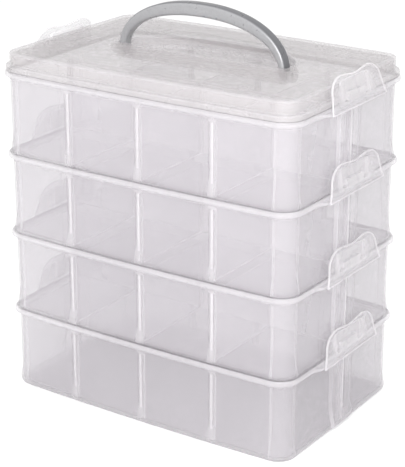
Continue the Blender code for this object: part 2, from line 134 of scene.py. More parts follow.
def walk_round(side_places, end_places):
    """Places round the box, anticlockwise from the front right corner, as (kind, which one, place)."""
    walk = []
    for index, corner in enumerate([(1, -1), (1, 1), (-1, 1), (-1, -1)]):
        for step in range(CORNER_STEPS + 1):
            walk.append(("corner", corner, math.radians(-90 + 90 * (index + step / CORNER_STEPS))))
        if index % 2 == 0:
            walk += [("end", corner[0], corner[0] * y) for y in end_places]
        else:
            walk += [("side", corner[1], -corner[1] * x) for x in side_places]
    return walk


def spread(low, high, count):
    """Evenly spaced places between two ends, without the ends."""
    return [low + (high - low) * step / (count + 1) for step in range(1, count + 1)]


print("places round the four corners:", len(walk_round([], [])))

# %% [markdown]
# ## Turning rings into a skin
# A thin moulded part is one closed skin. Rings of points that all have the same count can simply be joined
# with four-sided faces, and the first and last ring are closed with a flat face. Modifiers such as Solidify
# could thicken a single sheet, but then the rim, ledge and ribs would need work of their own. With rings,
# the whole section is drawn once, outside and inside.
#
# The plastic looks whiter where it is thicker or seen through an edge, as at a rim, a rib or the side of a
# plate, and part of that whiteness along edges is a painted highlight. So each ring also says how much
# thicker the plastic looks there, from 0 for a plain wall to 1 for a rim, and below 0 for painted shade in
# a groove. The mesh keeps that number at every point for the finish to read.

# %% A closed skin through rings


def skin(name, rings, thickness_and_painted_light=0.0):
    """A closed mesh through rings of points, with a mark of thickness and painted light: one number, or one
    for each ring or each point.
    """
    count = len(rings[0])
    points = [point for ring in rings for point in ring]
    faces = [tuple(reversed(range(count)))]
    for row in range(len(rings) - 1):
        for index in range(count):
            after = (index + 1) % count
            low = row * count
            faces.append((low + index, low + after, low + count + after, low + count + index))
    faces.append(tuple(range(len(points) - count, len(points))))
    mesh = bpy.data.meshes.new(name)
    mesh.from_pydata(points, [], faces)
    bm = bmesh.new()
    bm.from_mesh(mesh)
    bmesh.ops.recalc_face_normals(bm, faces=bm.faces)
    bm.to_mesh(mesh)
    bm.free()
    # Above 0 the plastic looks thicker, and along edges this is partly a painted highlight; below 0 is
    # painted shade.
    marks = mesh.attributes.new("thickness_and_painted_light", "FLOAT", "POINT")
    for row in range(len(rings)):
        here = thickness_and_painted_light if isinstance(thickness_and_painted_light, float) else thickness_and_painted_light[row]
        for index in range(count):
            marks.data[row * count + index].value = here if isinstance(here, float) else here[index]
    return mesh


# %% [markdown]
# ### Showing a piece
# Each piece is shaded smooth, with crisp edges only where it turns sharply. It gets one finish, rides on
# the body that carries it, and hides the plain nodes that it stands for. One could parent the pieces by
# hand, but riding keeps them in step with every pose of the working model.

# %% Shading, finish and body of a piece
SHARP = math.radians(40)


def show(name, mesh, body, nodes, finish):
    """A visible piece: shaded, given its finish, and riding on its body in place of the plain nodes."""
    mesh.shade_smooth()
    mesh.set_sharp_from_angle(angle=SHARP)
    mesh.materials.clear()
    mesh.materials.append(finish)
    piece = bpy.data.objects.new(name, mesh)
    bpy.context.scene.collection.objects.link(piece)
    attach(piece, body)
    if nodes:
        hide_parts(*nodes)
    return piece


print("edges stay crisp from, degrees:", round(math.degrees(SHARP)))

# %% [markdown]
# ### Joining shapes
# Small ribs, brackets, bosses and pins are moulded in one with their part. Meshes that only overlap would
# show both skins inside see-through plastic, so they are joined with an exact Boolean. A Boolean can lose
# the marks of thickness and painted light at the points it makes, so every point takes the mark of the
# nearest point it came from.

# %% Exact Booleans that keep the marks


def carry_marks(sources, result):
    """Gives each point of a combined mesh the mark of the nearest point that it came from: thickness, painted
    highlight or painted shade.
    """
    known = [(vertex.co, mark.value) for mesh in sources
             for vertex, mark in zip(mesh.vertices, mesh.attributes["thickness_and_painted_light"].data)]
    tree = KDTree(len(known))
    for index, (place, _) in enumerate(known):
        tree.insert(place, index)
    tree.balance()
    marks = result.attributes.get("thickness_and_painted_light") or result.attributes.new("thickness_and_painted_light", "FLOAT", "POINT")
    for vertex, mark in zip(result.vertices, marks.data):
        mark.value = known[tree.find(vertex.co)[1]][1]


def combined(mesh, steps):
    """The mesh after exact Booleans with other meshes, given as (operation, mesh)."""
    work = bpy.data.objects.new("work", mesh)
    bpy.context.scene.collection.objects.link(work)
    tools = []
    for operation, other in steps:
        tool = bpy.data.objects.new("tool", other)
        bpy.context.scene.collection.objects.link(tool)
        cut = work.modifiers.new(operation, "BOOLEAN")
        cut.operation = operation
        cut.solver = "EXACT"
        cut.object = tool
        tools.append(tool)
    shape = work.evaluated_get(bpy.context.evaluated_depsgraph_get())
    result = bpy.data.meshes.new_from_object(shape)
    carry_marks([mesh, *(other for _, other in steps)], result)
    for used in [work, *tools]:
        bpy.data.objects.remove(used)
    return result


# %% [markdown]
# ## Frosted plastic
# The trays are moulded in natural polypropylene. Thin walls let most of the light through, and the plastic
# flowed in slowly enough to leave faint cloudiness. A glass shader with high roughness would blur what is
# behind it, but it is slow and noisy through thirty walls. Instead, alpha lets each wall pass a share of
# what is behind it. The marks make rims and ribs whiter and more solid, partly for their thicker plastic and
# partly as a painted highlight along their edges, and they darken grooves and the curve of the base with
# painted shade. Noise gives the cloudiness and an uneven matt surface, and a gentle bump gives the slight
# waviness of the real sheet.

# %% Node helpers
NOISE_SPAN = (0.3, 0.7)


def nodes_for(material):
    """The nodes and links of a material."""
    material.use_nodes = True
    return material.node_tree.nodes, material.node_tree.links


def mapped(nodes, links, value, start, stop):
    """A value from one range to another, held at the ends; start is a pair in, stop the pair out."""
    node = nodes.new("ShaderNodeMapRange")
    node.inputs["From Min"].default_value, node.inputs["From Max"].default_value = start
    node.inputs["To Min"].default_value, node.inputs["To Max"].default_value = stop
    links.new(value, node.inputs["Value"])
    return node.outputs["Result"]


def noise(nodes, links, coordinates, scale, detail, low, high):
    """A noise pattern with a chosen size, mapped to a range of values."""
    pattern = nodes.new("ShaderNodeTexNoise")
    pattern.inputs["Scale"].default_value = scale
    pattern.inputs["Detail"].default_value = detail
    links.new(coordinates, pattern.inputs["Vector"])
    return mapped(nodes, links, pattern.outputs["Fac"], NOISE_SPAN, (low, high))


def mixed(nodes, links, factor, first, second):
    """A colour between two others, each of them a colour or a socket."""
    node = nodes.new("ShaderNodeMix")
    node.data_type = "RGBA"
    links.new(factor, node.inputs["Factor"])
    for socket, colour in (("A", first), ("B", second)):
        if isinstance(colour, tuple):
            node.inputs[socket].default_value = (*colour, 1.0)
        else:
            links.new(colour, node.inputs[socket])
    return node.outputs["Result"]


# %% Nodes for marks, sums and waves


def mark_of(nodes, name):
    """The number that the mesh keeps at every point under a name."""
    node = nodes.new("ShaderNodeAttribute")
    node.attribute_name = name
    return node.outputs["Fac"]


def worked_out(nodes, links, operation, *values):
    """The result of a Math node on one or two values."""
    node = nodes.new("ShaderNodeMath")
    node.operation = operation
    for socket, value in zip(node.inputs, values):
        links.new(value, socket)
    return node.outputs["Value"]


def waves(nodes, links, coordinates, scale, strength, depth):
    """A normal that rolls gently over the surface."""
    bump = nodes.new("ShaderNodeBump")
    bump.inputs["Strength"].default_value = strength
    bump.inputs["Distance"].default_value = depth
    links.new(noise(nodes, links, coordinates, scale, 1.0, 0.0, 1.0), bump.inputs["Height"])
    return bump.outputs["Normal"]


# %% Frosted plastic finish
PLASTIC_IOR = 1.49
CLOUD_SCALE = 14.0
CLOUD_SHADE = 0.98
# The share of the wall's tint that is kept where shade is painted into a groove.
GROOVE_SHADE = 0.6
UNEVEN_SCALE = 22.0
MATT_SCALE = 160.0
SHEET_WAVE_SCALE = 30.0
SHEET_WAVE_DEPTH = 0.2 * mm


def frosted(name, wall, rim, solidness):
    """Frosted plastic: the tint of a wall and of a rim, and the share of light that each holds back."""
    material = bpy.data.materials.new(name)
    nodes, links = nodes_for(material)
    shader = nodes["Principled BSDF"]
    shader.inputs["IOR"].default_value = PLASTIC_IOR
    shader.inputs["Specular IOR Level"].default_value = 0.5
    place = nodes.new("ShaderNodeTexCoord").outputs["Object"]
    thickness_and_painted_light = mark_of(nodes, "thickness_and_painted_light")
    cloudy = tuple(channel * CLOUD_SHADE for channel in wall)
    walls = mixed(nodes, links, noise(nodes, links, place, CLOUD_SCALE, 3.0, 0.0, 1.0), wall, cloudy)
    # Above 0 the rim's whiter tint comes in: thicker plastic, and along edges partly a painted highlight.
    lit = mixed(nodes, links, mapped(nodes, links, thickness_and_painted_light, (0, 1), (0, 1)), walls, rim)
    # Below 0 a darker copy of the wall's tint is painted shade, in grooves and round the base.
    groove_shade_tint = tuple(channel * GROOVE_SHADE for channel in wall)
    tint = mixed(nodes, links, mapped(nodes, links, thickness_and_painted_light, (0, -1), (0, 1)), lit, groove_shade_tint)
    links.new(tint, shader.inputs["Base Color"])
    away = worked_out(nodes, links, "ABSOLUTE", thickness_and_painted_light)
    solid = mapped(nodes, links, away, (0, 1), solidness)
    uneven = noise(nodes, links, place, UNEVEN_SCALE, 4.0, 0.97, 1.03)
    links.new(worked_out(nodes, links, "MULTIPLY", solid, uneven), shader.inputs["Alpha"])
    links.new(noise(nodes, links, place, MATT_SCALE, 3.0, 0.24, 0.34), shader.inputs["Roughness"])
    sheet = waves(nodes, links, place, SHEET_WAVE_SCALE, 0.4, SHEET_WAVE_DEPTH)
    links.new(sheet, shader.inputs["Normal"])
    return material


# %% The tints of the frosted pieces
tray_plastic = frosted("frosted_tray_plastic", (0.54, 0.515, 0.545), (0.70, 0.68, 0.70), (0.3, 0.46))
latch_plastic = frosted("frosted_latch_plastic", (0.57, 0.55, 0.57), (0.74, 0.72, 0.74), (0.17, 0.42))
lid_plastic = frosted("frosted_lid_plastic", (0.51, 0.485, 0.49), (0.54, 0.52, 0.53), (0.35, 0.44))
divider_plastic = frosted("frosted_divider_plastic", (0.80, 0.78, 0.81), (0.84, 0.82, 0.84), (0.2, 0.4))
print("finishes:", [material.name for material in bpy.data.materials if material.name.startswith("frosted")])

# %% [markdown]
# ## A tray
# Each tray is one moulding: a thin wall, a rounded base, a bead round the rim, and inside the rim a ledge
# that the next tray stands on. Pairs of small ribs on the walls make slots for the dividers. In the middle
# of each end the wall steps out as a pilaster, and the bead widens into a shelf for the latch. Each of
# these could be a shape of its own, joined on. But all of them are only local changes of the same rings, so
# the walk round the box gets extra places where a rib, the pilaster or the shelf starts and stops, and each
# ring moves there.

# %% Sizes of a tray
LEDGE_GAP = 0.3 * mm
BEAD_DROP = 2.0 * mm
SHELF_HALF = 41.0 * mm
SHELF_FLARE = 11.0 * mm
SHELF_REACH = 5.8 * mm
PILASTER_HALF = 16.0 * mm
PILASTER_CHAMFER = 1.6 * mm
PILASTER_REACH = 1.8 * mm
DIVIDER_THICKNESS = 1.5 * mm
SLOT_HALF = 1.05 * mm
RIB_THICKNESS = 2.0 * mm
RIB_REACH = 2.0 * mm
RIB_DRAFT = 0.15 * mm
RIB_DROP = 7.5 * mm
tray_height = tray_high.z - tray_low.z
ledge_top = pitch - LEDGE_GAP
bead_under = ledge_top - BEAD_DROP
rib_top = pitch - RIB_DROP
slot_places = [-TRAY_LENGTH / 4, 0.0, TRAY_LENGTH / 4]
print("height, mm:", round(tray_height / mm, 1), "slots at x, mm:", [round(x / mm, 1) for x in slot_places])

# %% Where the ribs and the slots are


def slots_on(where):
    """The middles of the divider slots on a side or on an end."""
    return slot_places if where == "side" else [0.0]


def rib_edges(middle):
    """Places where the two ribs of one slot start and stop."""
    near, far = SLOT_HALF, SLOT_HALF + RIB_THICKNESS
    steps = [near, near + RIB_DRAFT, far - RIB_DRAFT, far]
    return [middle + side * step for side in (-1, 1) for step in steps]


def on_rib(place, middles):
    """1 on a rib's inner face and 0 beside it."""
    nearest = min(abs(abs(place - middle) - SLOT_HALF - RIB_THICKNESS / 2) for middle in middles)
    return 1.0 if nearest < RIB_THICKNESS / 2 - RIB_DRAFT / 2 else 0.0


print("edges of the middle ribs, mm:", [round(x / mm, 2) for x in rib_edges(0.0)])

# %% The walk round a tray
SIDE_STEPS = 24
END_STEPS = 8
FLARE_STEPS = 8
BAND_HALF = 4.6 * mm
CORNER_BAND = 1.2 * mm
PILASTER_BANDS = (-3.0 * mm, 1.2 * mm)
SAME_PLACE = 0.05 * mm


def thinned(places, least):
    """The places in order, without ones that nearly coincide."""
    kept = []
    for place in sorted(places):
        if not kept or place - kept[-1] > least:
            kept.append(place)
    return kept


tray_sides = spread(-straight_x, straight_x, SIDE_STEPS)
tray_sides += [x for middle in slot_places for x in rib_edges(middle)]
tray_sides += [middle + side * BAND_HALF for middle in slot_places for side in (-1, 1)]
tray_sides += [side * (straight_x - CORNER_BAND) for side in (-1, 1)]
tray_ends = spread(-straight_y, straight_y, END_STEPS) + rib_edges(0.0) + [-BAND_HALF, BAND_HALF]
tray_ends += [side * (straight_y - CORNER_BAND) for side in (-1, 1)]
tray_ends += [side * (PILASTER_HALF + band) for side in (-1, 1) for band in PILASTER_BANDS]
flare = [SHELF_HALF + SHELF_FLARE * step / FLARE_STEPS for step in range(FLARE_STEPS + 1)]
tray_ends += [side * place for side in (-1, 1) for place in flare]
tray_ends += [side * place for side in (-1, 1) for place in (PILASTER_HALF, PILASTER_HALF - PILASTER_CHAMFER)]
tray_walk = walk_round(
    thinned([x for x in tray_sides if abs(x) < straight_x], SAME_PLACE),
    thinned([y for y in tray_ends if abs(y) < straight_y], SAME_PLACE),
)
print("places round a tray:", len(tray_walk))

# %% [markdown]
# ### The tray's section
# The section is drawn as a list of (kind, offset, height), from the middle of the base, up the outside,
# over the rim and down the inside. The bead has a second shape, the latch shelf, and the places beside the
# latch blend from one to the other. The kinds tell a ring what may change it: the wall and the inside
# follow the pilaster, the ribbed rings carry the ribs, and the others stay as drawn. One could cut the
# shelf and the slots with Booleans, but blended rings keep the flowing edge that a mould gives.

# %% The tray's section, outside and inside
BASE_WIDTH = 3.0 * mm
BASE_HEIGHT = 5.0 * mm
FLOOR = 1.8 * mm
BEAD = [
    (0, 0), (1.2, 0.25), (2.1, 0.8), (2.55, 1.6), (2.6, 2.4),
    (2.5, 3.2), (2.25, 3.9), (1.95, 4.4), (1.6, 4.6),
]
SHELF = [
    (1.9, 0.5), (5.2, 0.5), (5.65, 0.65), (5.8, 1.0), (5.8, 2.1),
    (5.65, 2.4), (5.3, 2.5), (2.6, 2.6), (1.7, 4.6),
]
LIP = [(0.95, 4.6), (0.66, 4.46), (0.5, 4.1), (-0.15, 2.3), (-0.45, 2.0)]
LEDGE = [(-4.3, 2.0), (-4.6, 1.7), (-4.6, 1.3), (-4.4, 0.9), (-1.9, -1.6), (-1.6, -2.2)]
INNER_FOOT = [("ribbed", 0.25, 4.9), ("plain_ribbed", 0.9, 3.4), ("plain_ribbed", 1.9, 2.3)]


def base_offset(z):
    """The rounded lower edge: a quarter of an ellipse."""
    return -BASE_WIDTH * (1 - math.sqrt(max(0.0, 1 - (1 - z / BASE_HEIGHT) ** 2)))


def tray_section():
    """The whole section of a tray; a row of the bead also holds the shelf's offset and height."""
    section = [("plain", base_offset(z * mm), z * mm) for z in (0.0, 0.12, 0.45, 1.0, 1.7, 2.5, 2.9)]
    section += [("wall", base_offset(z * mm), z * mm) for z in (3.1, 3.9, 5.0, 20.0, 42.0, 60.0)]
    section.append(("wall", 0.0, bead_under - 0.4 * mm))
    for (reach, rise), (shelf_reach, shelf_rise) in zip(BEAD, SHELF):
        shelf = (shelf_reach * mm, bead_under + shelf_rise * mm)
        section.append(("bead", reach * mm, bead_under + rise * mm, shelf))
    section += [("plain", reach * mm, bead_under + rise * mm) for reach, rise in LIP + LEDGE[:-1]]
    section.append(("inside", LEDGE[-1][0] * mm, bead_under + LEDGE[-1][1] * mm))
    section.append(("inside", -WALL, rib_top + 0.8 * mm))
    section += [("ribbed", -WALL, z) for z in (rib_top, 0.7 * rib_top, 0.4 * rib_top, 9.0 * mm, 6.8 * mm)]
    section += [(kind, -WALL - inward * mm, z * mm) for kind, inward, z in INNER_FOOT]
    section.append(("plain", -WALL - BASE_WIDTH, FLOOR))
    return section


print("rings of a tray:", len(tray_section()))

# %% Each point of a tray


def fade(distance, full, none):
    """1 up to one distance, 0 past another, and a smooth S between them."""
    share = min(max((distance - full) / (none - full), 0.0), 1.0)
    return 1 - share * share * (3 - 2 * share)


def tray_point(station, row, base_z):
    """A point of the tray's skin: a ring's offset and height, changed by what stands at this place."""
    kind, offset, z = row[:3]
    where, _, place = station
    if where == "end" and kind in ("wall", "inside", "ribbed"):
        offset += PILASTER_REACH * fade(abs(place), PILASTER_HALF - PILASTER_CHAMFER, PILASTER_HALF)
    if where == "end" and kind == "bead":
        share = fade(abs(place), SHELF_HALF, SHELF_HALF + SHELF_FLARE)
        offset += (row[3][0] - offset) * share
        z += (row[3][1] - z) * share
    if kind.endswith("ribbed") and where != "corner" and on_rib(place, slots_on(where)):
        offset = min(offset, -WALL - RIB_REACH)
    return (*plan(station, offset), base_z + z)


# %% [markdown]
# ### Where a tray looks thicker, with its painted highlight and shade
# Held to the light, the bead, the ribs and the slots show as pale bands, and each corner starts with a pale
# line; the bead's band is partly a painted highlight. The groove under the next tray and the curve of the
# base get painted shade. These looks could be painted by hand. Working them out from the section keeps
# them in place when a size changes.

# %% Looks of a tray's places
# Above 0 the plastic looks thicker, and at the bead this is partly a painted highlight; below 0 is painted
# shade.
BEAD_LOOK = 0.75
UNDER_RIM_LOOK = 0.45
CORNER_LINE_LOOK = 0.6
CORNER_LOOK = 0.12
SLOT_LOOK = 0.8
SEAM_LOOK = 0.45
PILASTER_LOOK = 0.25
PILASTER_EDGE_LOOK = 0.6
BASE_LOOK = 0.2
# Painted shade round the curve of the base and in the groove under the next tray.
BASE_SHADE = -0.7
GROOVE_SHADE_LOOK = -1.0


def near_slot(station, full, none):
    """1 at the middle of a divider slot, fading to 0 beside it."""
    where, _, place = station
    if where == "corner":
        return 0.0
    return fade(min(abs(place - middle) for middle in slots_on(where)), full, none)


def base_look(kind, offset, z):
    """The curve of the base gets painted shade; its flat underside is nearly plain."""
    return BASE_SHADE if kind == "plain" and offset < 0 and z > 0.2 * mm else BASE_LOOK


def wall_look(station):
    """A seam behind each slot, and on an end the pilaster with its brighter edges."""
    where, _, place = station
    seam = SEAM_LOOK * near_slot(station, 2.6 * mm, BAND_HALF)
    if where != "end":
        return seam
    edge_distance = abs(abs(place) - PILASTER_HALF + PILASTER_CHAMFER / 2)
    inside = PILASTER_LOOK * fade(abs(place), PILASTER_HALF - PILASTER_CHAMFER, PILASTER_HALF)
    return max(seam, inside, PILASTER_EDGE_LOOK * fade(edge_distance, 0.8 * mm, 1.8 * mm))


def tray_thickness_and_painted_light(station, row):
    """How much thicker the plastic looks at a place of a ring, with painted shade in the groove and round the
    base.
    """
    kind, offset, z = row[:3]
    where, _, place = station
    if kind == "bead":
        return BEAD_LOOK
    # Painted shade in the groove under the next tray.
    if z > ledge_top + 0.1 * mm:
        return GROOVE_SHADE_LOOK
    if z > ledge_top - 4.0 * mm:
        return UNDER_RIM_LOOK
    if z < 2.6 * mm and offset > -WALL - BASE_WIDTH * 0.9:
        return base_look(kind, offset, z)
    if where == "corner":
        turn = abs((math.degrees(place) + 135) % 90 - 45)
        return CORNER_LINE_LOOK if turn < 1 else CORNER_LOOK
    if kind.endswith("ribbed"):
        slot = SLOT_LOOK * near_slot(station, SLOT_HALF, SLOT_HALF + 0.6 * mm)
        return max(slot, on_rib(place, slots_on(where)))
    return wall_look(station)


# %% The four trays


def tray_skin(name, base_z):
    """The skin of one tray with its marks, standing at a height."""
    section = tray_section()
    rings = [[tray_point(station, row, base_z) for station in tray_walk] for row in section]
    return skin(name, rings, [[tray_thickness_and_painted_light(station, row) for station in tray_walk] for row in section])


for level, name in enumerate(tray_names):
    mesh = tray_skin(name + "_moulding", level * pitch)
    piece = show(name + "_moulding", mesh, name, [name], tray_plastic)
    print(piece.name, "faces:", len(mesh.polygons))

# %% [markdown]
# ## Dividers
# Loose plates drop into the slots. The long one halves the tray, and three short ones on each side of it
# make eight compartments. A cut plate is just an outline with a thickness, but a moulded one has soft
# edges, and soft edges catch the light as thin bright lines. So the outline is inset in a few steps towards
# each face, and the edges and a thin band beside them are marked whiter, partly for the plastic seen
# edge-on and partly as a painted highlight. A Bevel modifier would round the edges too, but it wouldn't mark
# the thin bright band of painted highlight beside them.

# %% Plates with soft edges
# The width of the band on each face beside a rounded edge that fades from the edge's whiter mark: a painted
# highlight.
EDGE_HIGHLIGHT_BAND = 0.45 * mm


def inset(outline, distance):
    """The outline, anticlockwise, moved inwards by a distance."""
    moved = []
    for index, here in enumerate(outline):
        before = Vector(outline[index - 1])
        after = Vector(outline[(index + 1) % len(outline)])
        first = (Vector(here) - before).normalized()
        second = (after - Vector(here)).normalized()
        inward = Vector((-first.y - second.y, first.x + second.x)) / 2
        length = max(inward.length_squared, 0.25)
        moved.append(Vector(here) + inward * distance / length)
    return moved


def soft_plate(name, outline, low, high, softness, place_point, steps=3, face_thick=0.0):
    """A plate between two depths with rounded edges; place_point(u, v, depth) puts each point in space."""
    rings = [(softness + EDGE_HIGHLIGHT_BAND, low)]
    for step in range(steps + 1):
        angle = math.radians(90) * step / steps
        rings.append((softness * (1 - math.sin(angle)), low + softness * (1 - math.cos(angle))))
    for step in range(steps, -1, -1):
        angle = math.radians(90) * step / steps
        rings.append((softness * (1 - math.sin(angle)), high - softness * (1 - math.cos(angle))))
    rings.append((softness + EDGE_HIGHLIGHT_BAND, high))
    # The rounded edges take the full mark, partly for plastic seen edge-on and partly as a painted highlight;
    # the faces keep their own mark.
    thickness_and_painted_light = [face_thick] + [1.0] * (len(rings) - 2) + [face_thick]
    points = [[place_point(*point, depth) for point in inset(outline, shrink)] for shrink, depth in rings]
    return skin(name, points, thickness_and_painted_light)


# %% The outline of a divider
DIVIDER_GAP = 0.3 * mm
DIVIDER_SOFT = 0.35 * mm
DIVIDER_CORNER = 5.2 * mm
DIVIDER_TOP_ROUND = 1.5 * mm
DIVIDER_DROP = 5.5 * mm
LONG_RIB_REACH = 1.2 * mm
divider_bottom = FLOOR + DIVIDER_GAP
divider_top = pitch - DIVIDER_DROP


def divider_outline(low, high, cut_low):
    """The face of a divider, anticlockwise, with its lower corners cut clear of the tray's rounded base."""
    lift = divider_bottom + DIVIDER_CORNER
    start = [(low, lift), (low + DIVIDER_CORNER, divider_bottom)] if cut_low else [(low, divider_bottom)]
    return start + [
        (high - DIVIDER_CORNER, divider_bottom),
        (high, lift),
        (high, divider_top - DIVIDER_TOP_ROUND),
        (high - DIVIDER_TOP_ROUND, divider_top),
        (low + DIVIDER_TOP_ROUND, divider_top),
        (low, divider_top - DIVIDER_TOP_ROUND),
    ]


print("height of a divider, mm:", round((divider_top - divider_bottom) / mm, 1))

# %% The long divider and its ribs


def along_x(u, v, depth):
    """Places a point of a plate that stands along the box."""
    return u, depth, v


def rib_block(x, side):
    """One small rib on a face of the long divider."""
    low_x, high_x = x - RIB_THICKNESS / 2, x + RIB_THICKNESS / 2
    low_z = divider_bottom + 1.0 * mm
    outline = [(low_x, low_z), (high_x, low_z), (high_x, rib_top), (low_x, rib_top)]
    edges = sorted([0.2 * mm * side, (DIVIDER_THICKNESS / 2 + LONG_RIB_REACH) * side])
    return soft_plate("rib", outline, *edges, 0.2 * mm, along_x, 2, 1.0)


def long_divider():
    """The long plate with a pair of ribs beside each slot, on both faces."""
    end = end_x - WALL - DIVIDER_GAP
    half = DIVIDER_THICKNESS / 2
    plate = soft_plate("long", divider_outline(-end, end, True), -half, half, DIVIDER_SOFT, along_x)
    middles = [x + side * (SLOT_HALF + RIB_THICKNESS / 2) for x in slot_places for side in (-1, 1)]
    return combined(plate, [("UNION", rib_block(x, side)) for x in middles for side in (-1, 1)])


# %% A short divider, and all of them in place


def cross_divider(x, side):
    """A short plate from the long divider to the wall, at the back (1) or at the front (-1)."""
    low = DIVIDER_THICKNESS / 2 + DIVIDER_GAP
    high = abs(plan(("side", 1, x), -WALL)[1]) - DIVIDER_GAP
    half = DIVIDER_THICKNESS / 2

    def across_box(u, v, depth):
        return x + depth, side * u, v

    return soft_plate("cross", divider_outline(low, high, False), -half, half, DIVIDER_SOFT, across_box)


for level, name in enumerate(tray_names):
    long_name = f"long_divider_{level + 1}"
    if long_name not in frame["nodes"]:
        print(name, "is left as one open space")
        continue
    raise_up = Matrix.Translation((0, 0, level * pitch))
    mesh = long_divider()
    mesh.transform(raise_up)
    show(long_name + "_plate", mesh, name, [long_name], divider_plastic)
    for side, side_name in ((1, "back"), (-1, "front")):
        for number, x in enumerate(slot_places, start=1):
            cross_name = f"{side_name}_divider_{level + 1}_{number}"
            mesh = cross_divider(x, side)
            mesh.transform(raise_up)
            show(cross_name + "_plate", mesh, name, [cross_name], divider_plastic)
    print(name, "has one long divider and", 2 * len(slot_places), "short ones")

# %% [markdown]
# ## Latches
# A latch is a flap on a living hinge: a web of plastic so thin that it bends for years without breaking.
# Its outline is a soft wave with two crests, and it leans in towards the wall. A hand-drawn curve would do
# for the outline, but an arc for each shoulder and a cosine for the wave need only four sizes.

# %% Sizes of a latch
LATCH_THICKNESS = 1.6 * mm
LATCH_SHOULDER = 12.0 * mm
SHOULDER_HALF = 37.0 * mm
CREST = 20.0 * mm
DIP = 1.9 * mm
TRAY_LEAN = 3.4 * mm
LID_LEAN = 6.8 * mm


def joint_place(name):
    """Where a joint of the working model sits."""
    return next(joint["pos_m"] for joint in frame["joints"] if joint["name"] == name)


latch_low, latch_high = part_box("latch_right_1")
hinge_x, _, hinge_z = joint_place("latch_right_1_open")
latch_height = latch_high.z - latch_low.z
latch_low_half = (latch_high.y - latch_low.y) / 2
latch_face_low = latch_high.x - LATCH_THICKNESS - hinge_x
print("hinge line at x, z, mm:", round(hinge_x / mm, 2), round(hinge_z / mm, 2))

# %% The flap's outline and its lean
SHOULDER_STEPS = 9
WAVE_STEPS = 10


def latch_outline():
    """The wavy face of the flap, anticlockwise as seen from outside, from its hinge edge."""
    right = []
    for step in range(SHOULDER_STEPS):
        angle = math.radians(90) * step / SHOULDER_STEPS
        y = CREST + (SHOULDER_HALF - CREST) * math.cos(angle)
        right.append((y, LATCH_SHOULDER + (latch_height - LATCH_SHOULDER) * math.sin(angle)))
    wave = []
    for step in range(2 * WAVE_STEPS + 1):
        y = CREST * (1 - step / WAVE_STEPS)
        wave.append((y, latch_height - DIP / 2 * (1 + math.cos(math.pi * y / CREST))))
    left = [(-y, z) for y, z in reversed(right)]
    return [(-latch_low_half, 0.0), (latch_low_half, 0.0)] + right + wave + left


def leaning(lean):
    """Places a point of the flap's face, at a depth that leans in towards the top."""
    return lambda y, z, depth: (depth - lean * z / latch_height, y, z)


print("points of the flap's outline:", len(latch_outline()))

# %% [markdown]
# ### The catch behind the flap
# Behind the flap a bracket, a bar with a leg at each end, bears on the tray above. It is the thickest
# plastic of the latch, so it shows as a pale block through the flap. At a tray its face is upright, like
# the wall that it bears on. At the lid it leans with the flap, and stays clear of the skirt.

# %% The catch
CATCH_DEPTH = 2.2 * mm
CATCH_HALF = 20.0 * mm
CATCH_CORNER = 2.0 * mm
CATCH_LOW = 5.6 * mm
CATCH_CROOK = 11.6 * mm
CATCH_TOP = 20.6 * mm
CATCH_SOFT = 0.6 * mm
LEG_HALF = 12.0 * mm
LEG_CUT = 1.0 * mm
bearing = end_x + PILASTER_REACH + 0.3 * mm - hinge_x


def cut_corner(y, z, side_y, side_z):
    """Three points that round an outer corner of the catch."""
    inward_y, inward_z = y - side_y * CATCH_CORNER, z - side_z * CATCH_CORNER
    return [(inward_y, z), (y - side_y * 0.3 * CATCH_CORNER, z - side_z * 0.3 * CATCH_CORNER), (y, inward_z)]


def catch_outline():
    """The bracket behind the flap: a bar with a leg at each end."""
    right = [
        (LEG_HALF - LEG_CUT, CATCH_CROOK),
        (LEG_HALF, CATCH_CROOK - LEG_CUT),
        (LEG_HALF, CATCH_LOW + LEG_CUT),
        (LEG_HALF + LEG_CUT, CATCH_LOW),
    ]
    right += cut_corner(CATCH_HALF, CATCH_LOW, 1, -1)
    right += reversed(cut_corner(CATCH_HALF, CATCH_TOP, 1, 1))
    return right + [(-y, z) for y, z in reversed(right)]


def catch_mesh(lean):
    """The bracket, from the flap to a face that is upright at a tray and leans with the flap at the lid."""
    outline = catch_outline()
    steep = leaning(lean)
    if lean > TRAY_LEAN:
        face, touch = steep, latch_face_low - CATCH_DEPTH
    else:
        face, touch = leaning(0.0), bearing
    rings = [[face(*point, touch) for point in inset(outline, CATCH_SOFT)]]
    rings.append([face(*point, touch + 0.2 * CATCH_SOFT) for point in inset(outline, 0.25 * CATCH_SOFT)])
    rings.append([face(*point, touch + CATCH_SOFT) for point in outline])
    rings.append([steep(*point, latch_face_low + 0.5 * mm) for point in outline])
    return skin("catch", rings, 1.0)


def latch_mesh(lean):
    """The flap with its catch, joined into one skin."""
    top = latch_face_low + LATCH_THICKNESS
    plate = soft_plate("flap", latch_outline(), latch_face_low, top, 0.5 * mm, leaning(lean))
    return combined(plate, [("UNION", catch_mesh(lean))])


print("points of the catch's outline:", len(catch_outline()))

# %% [markdown]
# ### The living hinge
# The web is a strip half a millimetre thick. It belongs to the tray at one edge and to the flap at the
# other, so it can't ride on one body. It is made in a row of steps.

# %% The web
WEB = 0.5 * mm
WEB_STEPS = 6


def web_mesh():
    """The thin strip of the living hinge, and where it starts and stops."""
    half = latch_low_half - 1.0 * mm
    start = end_x + SHELF_REACH - 0.4 * mm - hinge_x
    stop = latch_face_low + 0.3 * mm
    low = 0.15 * mm
    rings = []
    for step in range(WEB_STEPS + 1):
        x = start + (stop - start) * step / WEB_STEPS
        rings.append([(x, -half, low), (x, half, low), (x, half, low + WEB), (x, -half, low + WEB)])
    return skin("web", rings, 0.6), start, stop


print("web, mm:", round(WEB / mm, 2), "in steps:", WEB_STEPS)

